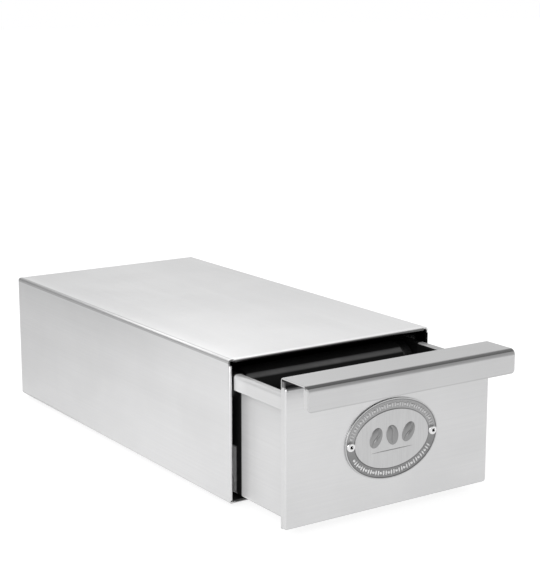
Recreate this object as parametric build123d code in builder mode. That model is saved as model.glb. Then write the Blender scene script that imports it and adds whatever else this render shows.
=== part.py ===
from build123d import *
import os

# A countertop knock drawer: a folded steel cabinet on four thin feet, and a drawer whose turned
# rims run in two channel rails. A rubber-covered bar crosses the drawer. Its front panel folds
# over into the handle, and wears a shallow cover below it.
# X runs across the drawer, +Y points to the back and Z up from the table.
# The drawer is modelled part way open, and the origin is under the middle of the whole object.

# Cabinet
cabinet_width = 165.0
cabinet_depth = 320.0
cabinet_height = 97.0
shell_sheet = 1.2
shell_bend = 1.4
bottom_flange = 31.0
back_flange = 10.0
hem_depth = 8.0
hem_relief = 3.0
base_sheet = 1.0
base_setback = 0.6
base_side_gap = 0.3
base_upturn = 11.0

# Feet
foot_height = 3.0
foot_diameter = 20.0
foot_inset = 19.0
foot_from_ends = 24.0

# Back panel and its screws
back_sheet = 1.2
back_panel_margin = 0.8
back_panel_corner = 2.5
screw_length = 8.0
screw_radius = 1.45
screw_head_radius = 2.8
screw_head_height = 1.8
screw_hole_gap = 0.05
screw_inset = 26.3

# Rivets through the bottom flanges
rivet_radius = 1.6
rivet_head_radius = 2.6
rivet_head_height = 0.9
rivet_tail_radius = 2.2
rivet_hole_gap = 0.05
rivet_inset = 4.9
rivet_from_ends = 60.0
rivets_per_side = 3

# Rails, their linings and the running clearances of the drawer's rims
rail_sheet = 1.2
rail_bend = 0.9
rail_setback = 12.0
rail_back_gap = 4.0
liner_sheet = 0.8
liner_setback = 0.5
rim_side_gap = 0.2
rim_under_gap = 0.2
rim_over_gap = 0.4
rail_to_bolt_gap = 0.9

# Drawer tub
drawer_open = 63.0
closed_gap = 0.3
tub_sheet = 1.0
tub_bend = 1.7
tub_floor_gap = 0.8
tub_hem = 8.0
rim_overhang = 5.6
rim_roof_gap = 8.8
rim_lip = 10.2

# Front panel and handle, one sheet as wide as the cabinet
panel_sheet = 1.2
panel_rise = 2.0
handle_rise = 2.2
panel_bend = 1.6
panel_corner = 1.0
handle_depth = 24.0
handle_lip = 16.0
handle_bend = 3.4
handle_corner = 2.4
lip_return = 5.0
lip_return_gap = 0.6

# Front cover: a shallow pan over the panel, below the handle
cover_depth = 3.6
cover_sheet = 1.0
cover_drop = 5.4
cover_corner = 2.0
cover_edge = 1.4
cover_ear_gap = 0.2

# Weld studs behind the panel, and their nuts
stud_radius = 2.0
stud_length = 8.0
stud_inset = 17.5
stud_rise = 12.0
stud_drop = 18.0
stud_hole_gap = 0.25
nut_gap = 0.05
nut_across_flats = 7.0
nut_height = 3.2
washer_radius = 4.5
washer_sheet = 0.8

# Knock bar
bar_setback = 79.0
bar_drop = 1.0
rod_radius = 8.0
sleeve_radius = 14.0
sleeve_edge = 1.6
collar_radius = 13.2
collar_length = 8.0
collar_edge = 0.8
bar_fit_gap = 0.05
bolt_radius = 3.0
bolt_length = 14.0
bolt_hole_gap = 0.2
bolt_tip_gap = 1.0
bolt_head_radius = 5.2
bolt_head_height = 2.2
bolt_socket = 4.0
bolt_socket_depth = 1.3

# Badge
badge_half_width = 37.4
badge_half_height = 26.6
badge_sheet = 0.7
badge_rim = 0.8
badge_rim_height = 0.3
badge_band = 6.6
badge_screw_radius = 1.45
badge_screw_head = 3.2
badge_screw_head_height = 1.5
badge_screw_hole_gap = 0.1
badge_screw_tip = 1.0
badge_nut_across_flats = 5.5
badge_nut_height = 2.2

# Drawer stop at the back, and the rubber bumpers that the closed drawer meets
lug_width = 34.0
lug_sheet = 1.5
lug_seat = 26.0
lug_roof_gap = 2.4
lug_rivet_spacing = 20.0
lug_rivet_drop = 13.0
buffer_width = 26.0
buffer_thickness = 3.0
buffer_rim_gap = 1.4
buffer_edge = 0.6
stop_width = 44.0
stop_sheet = 1.5
stop_bend = 1.5
stop_foot = 18.0
stop_setback = 92.5
stop_rim_gap = 2.4
bumper_radius = 7.0
bumper_length = 8.0
bumper_tub_gap = 0.3
bumper_inset = 25.5
bumper_edge = 1.2

# Places along Y at rest, from the cabinet's front edge backwards
overall_length = drawer_open + handle_depth + cabinet_depth + screw_head_height
cabinet_front = drawer_open + handle_depth - overall_length / 2
cabinet_back = cabinet_front + cabinet_depth
shell_back = cabinet_back - back_sheet
cover_face = cabinet_front - drawer_open
panel_face = cover_face + cover_depth
tub_front = panel_face + panel_sheet
closing_travel = drawer_open - cover_depth - panel_sheet - closed_gap
tub_back = shell_back - bumper_length - bumper_tub_gap - closing_travel
bar_y = cover_face + bar_setback

# Places along X, from the middle outwards
wall_outside = cabinet_width / 2
wall_inside = wall_outside - shell_sheet
rim_side = wall_inside - rail_sheet - liner_sheet - rim_side_gap
tub_side = rim_side - rim_overhang
rail_edge = tub_side + bolt_head_height + rail_to_bolt_gap

# Places along Z, from the table upwards
shell_top = foot_height + cabinet_height
shell_middle = foot_height + cabinet_height / 2
roof_inside = shell_top - shell_sheet
base_under = foot_height + shell_sheet
base_top = base_under + base_sheet
tub_bottom = base_top + tub_floor_gap
rim_height = roof_inside - rim_roof_gap
rim_lip_edge = rim_height - rim_lip
panel_bottom = foot_height + panel_rise
panel_top = shell_top + handle_rise
cover_top = panel_top - panel_sheet - cover_drop
cover_ear_top = panel_top - panel_sheet / 2 - panel_bend - cover_ear_gap
badge_height = (panel_bottom + cover_top) / 2
bar_z = rim_height - bar_drop - sleeve_radius
rail_floor = rim_lip_edge - rim_under_gap - liner_sheet
rail_ceiling = rim_height + rim_over_gap + liner_sheet

os.makedirs("parts", exist_ok=True)


def facing_front(y):
    """A plane across the drawer at y, with X and Z as its own axes and -Y as its outside."""
    return Plane.XZ.offset(-y)


def facing_right(x):
    """A plane along the drawer at x, with Y and Z as its own axes and +X as its outside."""
    return Plane.YZ.offset(x)


def facing_up(z):
    """A level plane at height z."""
    return Plane.XY.offset(z)


def folded_sheet(points, bend, sheet):
    """Draws the edge view of a folded sheet in the open sketch, from its middle line."""
    with BuildLine() as middle_line:
        FilletPolyline(*points, radius=bend)
    trace(middle_line.line, sheet)


def between(x_low, x_high, z_low, z_high, mode=Mode.ADD):
    """Draws a rectangle in the open sketch from its low and high sides."""
    with Locations(((x_low + x_high) / 2, (z_low + z_high) / 2)):
        Rectangle(x_high - x_low, z_high - z_low, mode=mode)


# Cabinet shell: top, two sides and bottom flanges from one sheet, with hemmed front edges
wall_middle = wall_outside - shell_sheet / 2
floor_middle = foot_height + shell_sheet / 2
roof_middle = shell_top - shell_sheet / 2
flange_edge = wall_outside - bottom_flange
shell_line = [
    (-flange_edge, floor_middle),
    (-wall_middle, floor_middle),
    (-wall_middle, roof_middle),
    (wall_middle, roof_middle),
    (wall_middle, floor_middle),
    (flange_edge, floor_middle),
]
hem_inside = wall_inside - shell_sheet
hem_under = roof_inside - shell_sheet
hem_half_width = wall_inside - hem_relief
hem_low = base_top + base_side_gap
hem_high = roof_inside - hem_relief
rivet_x = wall_outside - rivet_inset
rivet_spacing = (cabinet_depth - 2 * rivet_from_ends) / (rivets_per_side - 1)
rivet_places = [
    (side * rivet_x, cabinet_front + rivet_from_ends + i * rivet_spacing)
    for side in (-1, 1)
    for i in range(rivets_per_side)
]
screw_x = wall_inside - screw_inset
flange_screw_places = [
    (-screw_x, roof_inside - back_flange / 2),
    (screw_x, roof_inside - back_flange / 2),
    (-wall_inside + back_flange / 2, shell_middle),
    (wall_inside - back_flange / 2, shell_middle),
]
base_screw_places = [
    (-screw_x, base_top + base_upturn / 2),
    (screw_x, base_top + base_upturn / 2),
]

with BuildPart() as cabinet_shell:
    with BuildSketch(facing_front(cabinet_front + shell_sheet)):
        folded_sheet(shell_line, shell_bend, shell_sheet)
    extrude(amount=-(shell_back - cabinet_front - shell_sheet))
    with BuildSketch(facing_front(cabinet_front + shell_sheet)) as hem_layers:
        between(-wall_inside, -hem_inside, hem_low, hem_high)
        between(hem_inside, wall_inside, hem_low, hem_high)
        between(-hem_half_width, hem_half_width, hem_under, roof_inside)
    extrude(amount=-(hem_depth - shell_sheet))
    with BuildSketch(facing_up(hem_low)) as side_hem_noses:
        with Locations(
            (-wall_inside, cabinet_front + shell_sheet), (wall_inside, cabinet_front + shell_sheet)
        ):
            Circle(shell_sheet)
    extrude(amount=hem_high - hem_low)
    with BuildSketch(facing_right(-hem_half_width)) as top_hem_nose:
        with Locations((cabinet_front + shell_sheet, roof_inside)):
            Circle(shell_sheet)
    extrude(amount=2 * hem_half_width)
    with BuildSketch(facing_front(shell_back)) as back_frame:
        between(-wall_inside, wall_inside, base_top, roof_inside)
        between(
            -wall_inside + back_flange,
            wall_inside - back_flange,
            base_top,
            roof_inside - back_flange,
            mode=Mode.SUBTRACT,
        )
    extrude(amount=shell_sheet)
    with BuildSketch(facing_front(shell_back)):
        with Locations(*flange_screw_places):
            Circle(screw_radius + screw_hole_gap)
    extrude(amount=shell_sheet, mode=Mode.SUBTRACT)
    with BuildSketch(facing_up(foot_height)):
        with Locations(*rivet_places):
            Circle(rivet_radius + rivet_hole_gap)
    extrude(amount=shell_sheet, mode=Mode.SUBTRACT)

cabinet_shell.part.label = "cabinet_shell"
export_step(cabinet_shell.part, "parts/cabinet_shell.step")

# Base plate: lies on the bottom flanges inside, and turns up at the back
base_half_width = hem_inside - base_side_gap
base_line = [
    (cabinet_front + base_setback, base_under + base_sheet / 2),
    (shell_back - shell_sheet - base_sheet / 2, base_under + base_sheet / 2),
    (shell_back - shell_sheet - base_sheet / 2, base_top + base_upturn),
]
upturn_half_width = wall_inside - back_flange - base_side_gap

with BuildPart() as base_plate:
    with BuildSketch(facing_right(0)):
        folded_sheet(base_line, shell_bend, base_sheet)
    extrude(amount=base_half_width, both=True)
    with BuildSketch(facing_up(base_top)) as upturn_ends:
        for side in (-1, 1):
            with Locations((side * (upturn_half_width + back_flange), shell_back - back_flange)):
                Rectangle(2 * back_flange, 2 * back_flange)
    extrude(amount=base_upturn, mode=Mode.SUBTRACT)
    with BuildSketch(facing_front(shell_back)):
        with Locations(*base_screw_places):
            Circle(screw_radius + screw_hole_gap)
    extrude(amount=back_flange, mode=Mode.SUBTRACT)
    with BuildSketch(facing_up(base_under)):
        with Locations(*rivet_places):
            Circle(rivet_radius + rivet_hole_gap)
    extrude(amount=base_sheet, mode=Mode.SUBTRACT)

base_plate.part.label = "base_plate"
export_step(base_plate.part, "parts/base_plate.step")

# Rivets: a low dome under each bottom flange and an upset tail on the base plate
with BuildPart() as base_rivets:
    with BuildSketch(facing_up(foot_height)):
        with Locations(*rivet_places):
            Circle(rivet_radius)
    extrude(amount=shell_sheet + base_sheet)
    with BuildSketch(facing_up(foot_height)):
        with Locations(*rivet_places):
            Circle(rivet_head_radius)
    extrude(amount=-rivet_head_height)
    domes = base_rivets.faces().sort_by(Axis.Z)[0:len(rivet_places)]
    fillet(domes.edges(), rivet_head_height * 0.8)
    with BuildSketch(facing_up(base_top)):
        with Locations(*rivet_places):
            Circle(rivet_tail_radius)
    extrude(amount=rivet_head_height)

base_rivets.part.label = "base_rivets"
export_step(base_rivets.part, "parts/base_rivets.step")

# Back panel: a plain sheet screwed on from behind
back_screw_places = flange_screw_places + base_screw_places

with BuildPart() as back_panel:
    with BuildSketch(facing_front(cabinet_back)):
        with Locations((0, shell_middle)):
            RectangleRounded(
                cabinet_width - 2 * back_panel_margin,
                cabinet_height - 2 * back_panel_margin,
                back_panel_corner,
            )
        with Locations(*back_screw_places):
            Circle(screw_radius + 2 * screw_hole_gap, mode=Mode.SUBTRACT)
    extrude(amount=back_sheet)

back_panel.part.label = "back_panel"
export_step(back_panel.part, "parts/back_panel.step")

with BuildPart() as back_screws:
    with BuildSketch(facing_front(cabinet_back)):
        with Locations(*back_screw_places):
            Circle(screw_radius)
    extrude(amount=screw_length)
    with BuildSketch(facing_front(cabinet_back)):
        with Locations(*back_screw_places):
            Circle(screw_head_radius)
    extrude(amount=-screw_head_height)
    head_tops = back_screws.faces().sort_by(Axis.Y)[-len(back_screw_places):]
    fillet(head_tops.edges(), screw_head_height / 2)
    with BuildSketch(facing_front(cabinet_back + screw_head_height)):
        with Locations(*back_screw_places):
            Rectangle(screw_head_radius, screw_head_radius / 4)
            Rectangle(screw_head_radius / 4, screw_head_radius)
    extrude(amount=screw_head_height / 2, mode=Mode.SUBTRACT)

back_screws.part.label = "back_screws"
export_step(back_screws.part, "parts/back_screws.step")

# Rails and their linings: channels on the side walls, open towards the drawer
rail_front = cabinet_front + rail_setback
rail_back = shell_back - shell_sheet - rail_back_gap

for name, side in (("left", -1), ("right", 1)):
    rail_wall = side * (wall_inside - rail_sheet / 2)
    rail_line = [
        (side * rail_edge, rail_floor - rail_sheet / 2),
        (rail_wall, rail_floor - rail_sheet / 2),
        (rail_wall, rail_ceiling + rail_sheet / 2),
        (side * rail_edge, rail_ceiling + rail_sheet / 2),
    ]
    with BuildPart() as rail:
        with BuildSketch(facing_front(rail_front)):
            folded_sheet(rail_line, rail_bend, rail_sheet)
        extrude(amount=-(rail_back - rail_front))
    rail.part.label = f"rail_{name}"
    export_step(rail.part, f"parts/rail_{name}.step")

    liner_wall = side * (wall_inside - rail_sheet - liner_sheet / 2)
    liner_line = [
        (side * rail_edge, rail_floor + liner_sheet / 2),
        (liner_wall, rail_floor + liner_sheet / 2),
        (liner_wall, rail_ceiling - liner_sheet / 2),
        (side * rail_edge, rail_ceiling - liner_sheet / 2),
    ]
    with BuildPart() as rail_liner:
        with BuildSketch(facing_front(rail_front + liner_setback)):
            folded_sheet(liner_line, rail_bend - rail_sheet / 2 + liner_sheet / 2, liner_sheet)
        extrude(amount=-(rail_back - rail_front - 2 * liner_setback))
    rail_liner.part.label = f"rail_liner_{name}"
    export_step(rail_liner.part, f"parts/rail_liner_{name}.step")

# Feet: thin rubber discs under the bottom flanges
for row, foot_y in (
    ("front", cabinet_front + foot_from_ends),
    ("back", shell_back - foot_from_ends),
):
    for name, side in (("left", -1), ("right", 1)):
        with BuildPart() as foot:
            with BuildSketch(facing_up(0)):
                with Locations((side * (wall_outside - foot_inset), foot_y)):
                    Circle(foot_diameter / 2)
            extrude(amount=foot_height)
            chamfer(foot.faces().sort_by(Axis.Z)[0].edges(), foot_height / 5)
        foot.part.label = f"foot_{row}_{name}"
        export_step(foot.part, f"parts/foot_{row}_{name}.step")

# Rear bumpers on the back panel's inner face
for name, side in (("left", -1), ("right", 1)):
    with BuildPart() as bumper:
        with BuildSketch(facing_front(shell_back)):
            with Locations((side * (tub_side - bumper_inset), shell_middle)):
                Circle(bumper_radius)
        extrude(amount=bumper_length)
        fillet(bumper.faces().sort_by(Axis.Y)[0].edges(), bumper_edge)
    bumper.part.label = f"bumper_{name}"
    export_step(bumper.part, f"parts/bumper_{name}.step")

# Stop bracket under the roof: the drawer's buffer meets it when the drawer is fully open
stop_face = cabinet_front + stop_setback
stop_line = [
    (stop_face - stop_sheet / 2, rim_height + stop_rim_gap),
    (stop_face - stop_sheet / 2, roof_inside - stop_sheet / 2),
    (stop_face - stop_foot, roof_inside - stop_sheet / 2),
]

with BuildPart() as stop_bracket:
    with BuildSketch(facing_right(0)):
        folded_sheet(stop_line, stop_bend, stop_sheet)
    extrude(amount=stop_width / 2, both=True)

stop_bracket.part.label = "stop_bracket"
export_step(stop_bracket.part, "parts/stop_bracket.step")

# Drawer tub: one folded section with turned rims, closed by a front and a back wall
side_middle = tub_side - tub_sheet / 2
rim_middle = rim_side - tub_sheet / 2
rim_top_middle = rim_height - tub_sheet / 2
tub_floor_middle = tub_bottom + tub_sheet / 2
tub_line = [
    (-rim_middle, rim_lip_edge),
    (-rim_middle, rim_top_middle),
    (-side_middle, rim_top_middle),
    (-side_middle, tub_floor_middle),
    (side_middle, tub_floor_middle),
    (side_middle, rim_top_middle),
    (rim_middle, rim_top_middle),
    (rim_middle, rim_lip_edge),
]
stud_places = [
    (side * (tub_side - stud_inset), height)
    for side in (-1, 1)
    for height in (tub_bottom + stud_rise, rim_height - stud_drop)
]
badge_screw_reach = badge_half_width - badge_rim - badge_band / 2
badge_screw_places = [
    (-badge_screw_reach, badge_height),
    (badge_screw_reach, badge_height),
]
lug_rivet_places = [
    (-lug_rivet_spacing / 2, rim_height - lug_rivet_drop),
    (lug_rivet_spacing / 2, rim_height - lug_rivet_drop),
]

with BuildPart() as drawer_tub:
    with BuildSketch(facing_front(tub_front)):
        folded_sheet(tub_line, tub_bend, tub_sheet)
    extrude(amount=-(tub_back - tub_front))
    with BuildSketch(facing_front(tub_front), facing_front(tub_back - tub_sheet)) as end_walls:
        between(-side_middle, side_middle, tub_floor_middle, rim_height)
    extrude(amount=-tub_sheet)
    with BuildSketch(
        facing_front(tub_front + tub_sheet), facing_front(tub_back - 2 * tub_sheet)
    ) as end_hems:
        between(-side_middle + tub_bend, side_middle - tub_bend, rim_height - tub_hem, rim_height)
    extrude(amount=-tub_sheet)
    with BuildSketch(facing_front(tub_front)):
        with Locations(*stud_places):
            Circle(stud_radius + stud_hole_gap)
        with Locations(*badge_screw_places):
            Circle(badge_screw_radius + badge_screw_hole_gap)
    extrude(amount=-tub_sheet, mode=Mode.SUBTRACT)
    with BuildSketch(facing_front(tub_back)):
        with Locations(*lug_rivet_places):
            Circle(rivet_radius + rivet_hole_gap)
    extrude(amount=tub_sheet, mode=Mode.SUBTRACT)
    with BuildSketch(facing_right(-tub_side)):
        with Locations((bar_y, bar_z)):
            Circle(bolt_radius + bolt_hole_gap)
    extrude(amount=2 * tub_side, mode=Mode.SUBTRACT)

drawer_tub.part.label = "drawer_tub"
export_step(drawer_tub.part, "parts/drawer_tub.step")

# Front panel: its top edge folds forward and down into the handle, whose lip turns back at its ends
panel_middle = panel_face + panel_sheet / 2
lip_face = cover_face - handle_depth
lip_middle = lip_face + panel_sheet / 2
panel_line = [
    (panel_middle, panel_bottom),
    (panel_middle, panel_top - panel_sheet / 2),
    (lip_middle, panel_top - panel_sheet / 2),
    (lip_middle, panel_top - handle_lip),
]

with BuildPart() as front_panel:
    with BuildSketch(facing_right(0)):
        folded_sheet(panel_line, [panel_bend, handle_bend], panel_sheet)
    extrude(amount=wall_outside, both=True)
    lip_corners = front_panel.edges().filter_by(Axis.Y).group_by(Axis.Y)[0]
    fillet(lip_corners.group_by(Axis.Z)[0], handle_corner)
    fillet(front_panel.edges().filter_by(Axis.Y).group_by(Axis.Z)[0], panel_corner)
    with BuildSketch(facing_front(lip_face + lip_return)) as lip_returns:
        for side in (-1, 1):
            between(
                *sorted((side * (wall_outside - panel_sheet), side * wall_outside)),
                panel_top - handle_lip + handle_corner,
                panel_top - panel_sheet - lip_return_gap,
            )
    extrude(amount=lip_return - panel_sheet)
    with BuildSketch(facing_front(tub_front)):
        with Locations(*badge_screw_places):
            Circle(badge_screw_radius + badge_screw_hole_gap)
    extrude(amount=panel_sheet, mode=Mode.SUBTRACT)

front_panel.part.label = "front_panel"
export_step(front_panel.part, "parts/front_panel.step")

# Front cover: its turned edges stand on the panel, and those at its sides reach up under the handle
with BuildPart() as front_cover:
    with BuildSketch(facing_front(panel_face)):
        between(-wall_outside, wall_outside, panel_bottom, cover_top)
    extrude(amount=cover_depth)
    fillet(front_cover.edges().filter_by(Axis.Y), cover_corner)
    fillet(front_cover.faces().sort_by(Axis.Y)[0].edges(), cover_edge)
    with BuildSketch(facing_front(panel_face)) as hollow_behind:
        between(
            -wall_outside + cover_sheet,
            wall_outside - cover_sheet,
            panel_bottom + cover_sheet,
            cover_top - cover_sheet,
        )
    extrude(amount=cover_depth - cover_sheet, mode=Mode.SUBTRACT)
    with BuildSketch(facing_front(panel_face)) as side_ears:
        for side in (-1, 1):
            between(
                *sorted((side * (wall_outside - cover_sheet), side * wall_outside)),
                cover_top - cover_sheet - cover_corner,
                cover_ear_top,
            )
    extrude(amount=cover_depth - cover_edge)
    with BuildSketch(facing_front(panel_face)):
        with Locations(*badge_screw_places):
            Circle(badge_screw_radius + badge_screw_hole_gap)
    extrude(amount=cover_depth, mode=Mode.SUBTRACT)

front_cover.part.label = "front_cover"
export_step(front_cover.part, "parts/front_cover.step")

# Weld studs on the panel's back, through the tub's front wall, with a washer and nut each
with BuildPart() as panel_studs:
    with BuildSketch(facing_front(tub_front)):
        with Locations(*stud_places):
            Circle(stud_radius)
    extrude(amount=-stud_length)
    chamfer(panel_studs.faces().sort_by(Axis.Y)[-len(stud_places):].edges(), stud_radius / 5)

panel_studs.part.label = "panel_studs"
export_step(panel_studs.part, "parts/panel_studs.step")

with BuildPart() as panel_nuts:
    with BuildSketch(facing_front(tub_front + tub_sheet)):
        with Locations(*stud_places):
            Circle(washer_radius)
    extrude(amount=-washer_sheet)
    with BuildSketch(facing_front(tub_front + tub_sheet + washer_sheet)):
        with Locations(*stud_places):
            RegularPolygon(nut_across_flats / 2, 6, major_radius=False)
    extrude(amount=-nut_height)
    with BuildSketch(facing_front(tub_front)):
        with Locations(*stud_places):
            Circle(stud_radius + nut_gap)
    extrude(amount=-stud_length, mode=Mode.SUBTRACT)

panel_nuts.part.label = "panel_nuts"
export_step(panel_nuts.part, "parts/panel_nuts.step")

# Knock bar: a steel rod between the tub's side walls, two collars and a rubber sleeve
tub_inside = tub_side - tub_sheet
rod_hole_depth = bolt_length - tub_sheet + bolt_tip_gap
sleeve_half_length = tub_inside - collar_length

with BuildPart() as knock_rod:
    with BuildSketch(facing_right(-tub_inside)):
        with Locations((bar_y, bar_z)):
            Circle(rod_radius)
    extrude(amount=2 * tub_inside)
    with BuildSketch(facing_right(-tub_inside), facing_right(tub_inside - rod_hole_depth)):
        with Locations((bar_y, bar_z)):
            Circle(bolt_radius + bar_fit_gap)
    extrude(amount=rod_hole_depth, mode=Mode.SUBTRACT)

knock_rod.part.label = "knock_rod"
export_step(knock_rod.part, "parts/knock_rod.step")

with BuildPart() as knock_sleeve:
    with BuildSketch(facing_right(-sleeve_half_length)):
        with Locations((bar_y, bar_z)):
            Circle(sleeve_radius)
            Circle(rod_radius + bar_fit_gap, mode=Mode.SUBTRACT)
    extrude(amount=2 * sleeve_half_length)
    sleeve_rims = knock_sleeve.edges().filter_by(GeomType.CIRCLE).group_by(SortBy.RADIUS)[-1]
    fillet(sleeve_rims, sleeve_edge)

knock_sleeve.part.label = "knock_sleeve"
export_step(knock_sleeve.part, "parts/knock_sleeve.step")

for name, collar_start in (("left", -tub_inside), ("right", sleeve_half_length)):
    with BuildPart() as collar:
        with BuildSketch(facing_right(collar_start)):
            with Locations((bar_y, bar_z)):
                Circle(collar_radius)
                Circle(rod_radius + bar_fit_gap, mode=Mode.SUBTRACT)
        extrude(amount=collar_length)
        collar_rims = collar.edges().filter_by(GeomType.CIRCLE).group_by(SortBy.RADIUS)[-1]
        chamfer(collar_rims, collar_edge)
    collar.part.label = f"collar_{name}"
    export_step(collar.part, f"parts/collar_{name}.step")

with BuildPart() as bar_bolts:
    with BuildSketch(facing_right(-tub_side), facing_right(tub_side - bolt_length)):
        with Locations((bar_y, bar_z)):
            Circle(bolt_radius)
    extrude(amount=bolt_length)
    with BuildSketch(facing_right(-tub_side - bolt_head_height), facing_right(tub_side)):
        with Locations((bar_y, bar_z)):
            Circle(bolt_head_radius)
    extrude(amount=bolt_head_height)
    fillet(bar_bolts.faces().sort_by(Axis.X)[0].edges(), bolt_head_height / 2)
    fillet(bar_bolts.faces().sort_by(Axis.X)[-1].edges(), bolt_head_height / 2)
    with BuildSketch(
        facing_right(-tub_side - bolt_head_height),
        facing_right(tub_side + bolt_head_height - bolt_socket_depth),
    ):
        with Locations((bar_y, bar_z)):
            RegularPolygon(bolt_socket / 2, 6, major_radius=False)
    extrude(amount=bolt_socket_depth, mode=Mode.SUBTRACT)

bar_bolts.part.label = "bar_bolts"
export_step(bar_bolts.part, "parts/bar_bolts.step")

# Badge: an oval plate with a raised outer rim, a sunk band and a raised middle
field_half_width = badge_half_width - badge_rim - badge_band
field_half_height = badge_half_height - badge_rim - badge_band

with BuildPart() as badge_plate:
    with BuildSketch(facing_front(cover_face)):
        with Locations((0, badge_height)):
            Ellipse(badge_half_width, badge_half_height)
    extrude(amount=badge_sheet)
    with BuildSketch(facing_front(cover_face - badge_sheet)):
        with Locations((0, badge_height)):
            Ellipse(badge_half_width, badge_half_height)
            Ellipse(badge_half_width - badge_rim, badge_half_height - badge_rim, mode=Mode.SUBTRACT)
            Ellipse(field_half_width, field_half_height)
    extrude(amount=badge_rim_height)
    with BuildSketch(facing_front(cover_face)):
        with Locations(*badge_screw_places):
            Circle(badge_screw_radius + badge_screw_hole_gap)
    extrude(amount=badge_sheet, mode=Mode.SUBTRACT)

badge_plate.part.label = "badge_plate"
export_step(badge_plate.part, "parts/badge_plate.step")

badge_face = cover_face - badge_sheet
badge_nut_seat = tub_front + tub_sheet
badge_screw_length = badge_nut_seat + badge_nut_height + badge_screw_tip - badge_face

with BuildPart() as badge_screws:
    with BuildSketch(facing_front(badge_face)):
        with Locations(*badge_screw_places):
            Circle(badge_screw_radius)
    extrude(amount=-badge_screw_length)
    with BuildSketch(facing_front(badge_face)):
        with Locations(*badge_screw_places):
            Circle(badge_screw_head)
    extrude(amount=badge_screw_head_height)
    head_faces = badge_screws.faces().sort_by(Axis.Y)[0:len(badge_screw_places)]
    fillet(head_faces.edges(), badge_screw_head_height * 0.8)
    with BuildSketch(facing_front(badge_face - badge_screw_head_height)):
        with Locations(*badge_screw_places):
            RegularPolygon(badge_screw_head / 3, 6, major_radius=False)
    extrude(amount=-badge_screw_head_height / 2, mode=Mode.SUBTRACT)

badge_screws.part.label = "badge_screws"
export_step(badge_screws.part, "parts/badge_screws.step")

with BuildPart() as badge_nuts:
    with BuildSketch(facing_front(badge_nut_seat)):
        with Locations(*badge_screw_places):
            RegularPolygon(badge_nut_across_flats / 2, 6, major_radius=False)
            Circle(badge_screw_radius + nut_gap, mode=Mode.SUBTRACT)
    extrude(amount=-badge_nut_height)

badge_nuts.part.label = "badge_nuts"
export_step(badge_nuts.part, "parts/badge_nuts.step")

# Stop lug riveted to the tub's back wall, with a rubber buffer on its front above the rim
lug_top = roof_inside - lug_roof_gap
buffer_low = rim_height + buffer_rim_gap

with BuildPart() as stop_lug:
    with BuildSketch(facing_front(tub_back)):
        between(-lug_width / 2, lug_width / 2, rim_height - lug_seat, lug_top)
        with Locations(*lug_rivet_places):
            Circle(rivet_radius + rivet_hole_gap, mode=Mode.SUBTRACT)
    extrude(amount=-lug_sheet)

stop_lug.part.label = "stop_lug"
export_step(stop_lug.part, "parts/stop_lug.step")

with BuildPart() as lug_rivets:
    with BuildSketch(facing_front(tub_back - tub_sheet)):
        with Locations(*lug_rivet_places):
            Circle(rivet_radius)
    extrude(amount=-(tub_sheet + lug_sheet))
    with BuildSketch(
        facing_front(tub_back - tub_sheet - rivet_head_height), facing_front(tub_back + lug_sheet)
    ):
        with Locations(*lug_rivet_places):
            Circle(rivet_head_radius)
    extrude(amount=-rivet_head_height)

lug_rivets.part.label = "lug_rivets"
export_step(lug_rivets.part, "parts/lug_rivets.step")

with BuildPart() as stop_buffer:
    with BuildSketch(facing_front(tub_back)):
        between(-buffer_width / 2, buffer_width / 2, buffer_low, lug_top)
    extrude(amount=buffer_thickness)
    fillet(stop_buffer.faces().sort_by(Axis.Y)[0].edges(), buffer_edge)

stop_buffer.part.label = "stop_buffer"
export_step(stop_buffer.part, "parts/stop_buffer.step")
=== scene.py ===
"""The looks of a steel knock drawer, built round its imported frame. Lengths are in metres."""

import math

import bpy
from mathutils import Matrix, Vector


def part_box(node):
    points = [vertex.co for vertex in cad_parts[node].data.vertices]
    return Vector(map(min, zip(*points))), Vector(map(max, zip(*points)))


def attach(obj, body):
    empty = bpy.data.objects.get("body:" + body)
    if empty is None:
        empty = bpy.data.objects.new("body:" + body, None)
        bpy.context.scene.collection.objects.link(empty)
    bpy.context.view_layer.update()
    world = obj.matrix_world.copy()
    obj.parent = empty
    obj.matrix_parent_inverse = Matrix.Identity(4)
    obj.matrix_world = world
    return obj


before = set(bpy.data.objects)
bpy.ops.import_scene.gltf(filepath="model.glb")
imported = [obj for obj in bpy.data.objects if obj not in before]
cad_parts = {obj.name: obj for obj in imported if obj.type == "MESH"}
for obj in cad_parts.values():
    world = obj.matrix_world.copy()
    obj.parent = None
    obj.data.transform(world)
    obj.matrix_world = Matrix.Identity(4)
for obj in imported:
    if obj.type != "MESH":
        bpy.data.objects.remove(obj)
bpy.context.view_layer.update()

MM = 0.001
FAR = 1.0

# Places read from the frame
shell_low, shell_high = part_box("cabinet_shell")
tub_low, tub_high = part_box("drawer_tub")
panel_low, panel_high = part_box("front_panel")
cover_low, cover_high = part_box("front_cover")
sleeve_low, sleeve_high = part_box("knock_sleeve")
badge_low, badge_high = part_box("badge_plate")
badge_screws_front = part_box("badge_screws")[0].y
badge_centre = (badge_low + badge_high) / 2
badge_half = (badge_high - badge_low) / 2
sleeve_centre = (sleeve_low + sleeve_high) / 2

# Sheets and folds
SHELL_SHEET = 1.2 * MM
PANEL_SHEET = 1.2 * MM
TUB_SHEET = 1.0 * MM
TUB_HALF_WIDTH = 73.5 * MM  # over the tub's walls, without its rims
RIM_LIP = 10.2 * MM
HANDLE_LIP = 16 * MM
LIT_DEPTH = 16 * MM  # how far into the cabinet its left wall is left without painted shade

# Badge plate
BADGE_RIM = 0.8 * MM
BADGE_BAND = 6.6 * MM
BADGE_STEP = 0.3 * MM  # how far the band is sunk

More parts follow.
